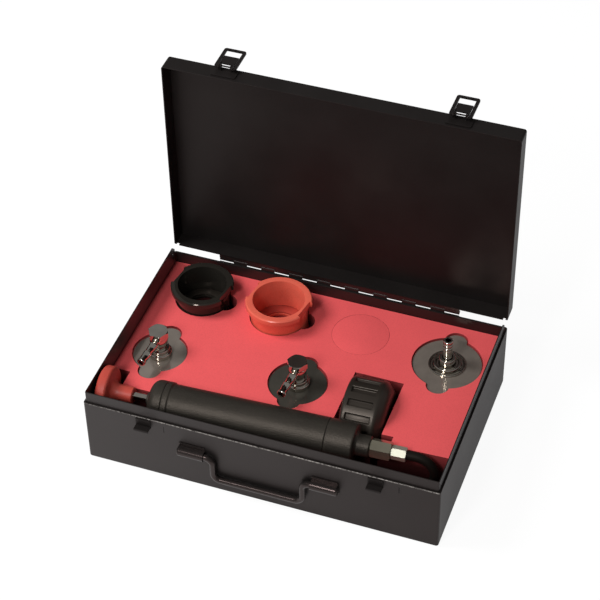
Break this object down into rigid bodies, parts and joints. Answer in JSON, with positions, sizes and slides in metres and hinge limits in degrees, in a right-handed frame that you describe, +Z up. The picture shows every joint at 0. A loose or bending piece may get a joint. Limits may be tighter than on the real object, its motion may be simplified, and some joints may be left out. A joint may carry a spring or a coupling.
{
  "type": "radiator pressure tester kit",
  "caption": "Open steel carry case with a foam tray that holds a hand pump with gauge and hose, filler-neck cups and test caps.",
  "frame": {"origin": "middle of the case's bottom face", "axes": "+X along the case's long side, +Y from the front wall to the hinge, +Z up"},
  "size_m": [0.355, 0.2788, 0.3162],
  "materials": {
    "case_paint": "semi-gloss black",
    "red_foam": "open-cell foam",
    "plated_steel": "nickel plated",
    "chrome": "polished",
    "dark_metal": "black anodised",
    "black_plastic": "fine texture",
    "red_plastic": "anodised red",
    "black_rubber": "matt",
    "red_rubber": "matt",
    "gauge_steel": "satin",
    "brass": "plain",
    "dial_white": "matt white",
    "pointer_black": "matt black",
    "clear_lens": "clear"
  },
  "bodies": {
    "case": {"base_shell": "case_paint", "base_lip": "case_paint", "foam_insert": "red_foam", "foam_plug": "red_foam", "hinge_base_leaf": "case_paint", "hinge_pin": "plated_steel", "keeper_left": "case_paint", "keeper_right": "case_paint", "handle_bracket_left": "case_paint", "handle_bracket_right": "case_paint"},
    "lid": {"lid_shell": "case_paint", "hinge_lid_leaf": "case_paint", "latch_plate_left": "case_paint", "latch_plate_right": "case_paint"},
    "lever_left": {"latch_lever_left": "case_paint"},
    "lever_right": {"latch_lever_right": "case_paint"},
    "loop_left": {"latch_loop_left": "case_paint"},
    "loop_right": {"latch_loop_right": "case_paint"},
    "handle": {"carry_handle": "case_paint"},
    "pump": {"pump_barrel": "dark_metal", "barrel_sleeve": "black_plastic", "rod_end_cap": "black_plastic", "rod_guide_bush": "black_plastic", "pump_head": "black_plastic", "check_valve": "brass", "hose_nut": "plated_steel", "hose_ferrule": "plated_steel", "hose": "black_rubber", "hose_coupler": "plated_steel", "gauge_case": "gauge_steel", "gauge_boot": "black_rubber", "gauge_lens": "clear_lens", "gauge_dial": "dial_white", "gauge_stem": "dark_metal", "bourdon_tube": "brass"},
    "plunger": {"pump_rod": "chrome", "pump_knob": "red_plastic", "piston": "black_plastic", "piston_seal": "black_rubber"},
    "pointer": {"gauge_pointer": "pointer_black"},
    "black_cup": {"black_adapter": "black_plastic", "black_adapter_seal": "black_rubber"},
    "red_cup": {"red_adapter": "red_plastic", "red_adapter_seal": "red_rubber"},
    "right_cap": {"cap_right_plate": "chrome", "cap_right_collar": "chrome", "cap_right_nipple": "chrome", "cap_right_seal": "black_rubber"},
    "mid_cap": {"cap_mid_plate": "chrome", "cap_mid_collar": "chrome", "cap_mid_union": "chrome", "cap_mid_bolt": "chrome", "cap_mid_seal": "black_rubber"},
    "left_cap": {"cap_left_plate": "chrome", "cap_left_collar": "chrome", "cap_left_union": "chrome", "cap_left_bolt": "chrome", "cap_left_seal": "black_rubber"}
  },
  "joints": [
    {"name": "lid_hinge", "type": "hinge", "parent": "case", "child": "lid", "pos_m": [0, 0.1171, 0.0773], "axis": [-1, 0, 0], "range_deg": [-90, 0]},
    {"name": "handle_swing", "type": "hinge", "parent": "case", "child": "handle", "pos_m": [0, -0.1189, 0.046], "axis": [-1, 0, 0], "range_deg": [0, 100]},
    {"name": "lever_left_turn", "type": "hinge", "parent": "lid", "child": "lever_left", "pos_m": [-0.1155, 0.1278, 0.3142], "axis": [-1, 0, 0], "range_deg": [-180, 0]},
    {"name": "loop_left_turn", "type": "hinge", "parent": "lever_left", "child": "loop_left", "pos_m": [-0.1155, 0.1256, 0.3142], "axis": [1, 0, 0], "range_deg": [0, 175]},
    {"name": "lever_right_turn", "type": "hinge", "parent": "lid", "child": "lever_right", "pos_m": [0.1155, 0.1278, 0.3142], "axis": [-1, 0, 0], "range_deg": [-180, 0]},
    {"name": "loop_right_turn", "type": "hinge", "parent": "lever_right", "child": "loop_right", "pos_m": [0.1155, 0.1256, 0.3142], "axis": [1, 0, 0], "range_deg": [0, 175]},
    {"name": "pump_lift", "type": "slide", "parent": "case", "child": "pump", "axis": [0, 0, 1], "range_m": [0, 0.12]},
    {"name": "black_cup_lift", "type": "slide", "parent": "case", "child": "black_cup", "axis": [0, 0, 1], "range_m": [0, 0.12]},
    {"name": "red_cup_lift", "type": "slide", "parent": "case", "child": "red_cup", "axis": [0, 0, 1], "range_m": [0, 0.12]},
    {"name": "right_cap_lift", "type": "slide", "parent": "case", "child": "right_cap", "axis": [0, 0, 1], "range_m": [0, 0.12]},
    {"name": "mid_cap_lift", "type": "slide", "parent": "case", "child": "mid_cap", "axis": [0, 0, 1], "range_m": [0, 0.12]},
    {"name": "left_cap_lift", "type": "slide", "parent": "case", "child": "left_cap", "axis": [0, 0, 1], "range_m": [0, 0.12]},
    {"name": "plunger_slide", "type": "slide", "parent": "pump", "child": "plunger", "axis": [0.9991, 0.0427, 0], "range_m": [0, 0.0035]},
    {"name": "pointer_turn", "type": "hinge", "parent": "pump", "child": "pointer", "pos_m": [0.05564, -0.01912, 0.045], "axis": [0.9991, 0.0427, 0], "range_deg": [0, 270], "stiffness_Nm_per_rad": 0.0005, "springref_deg": -5.73}
  ]
}
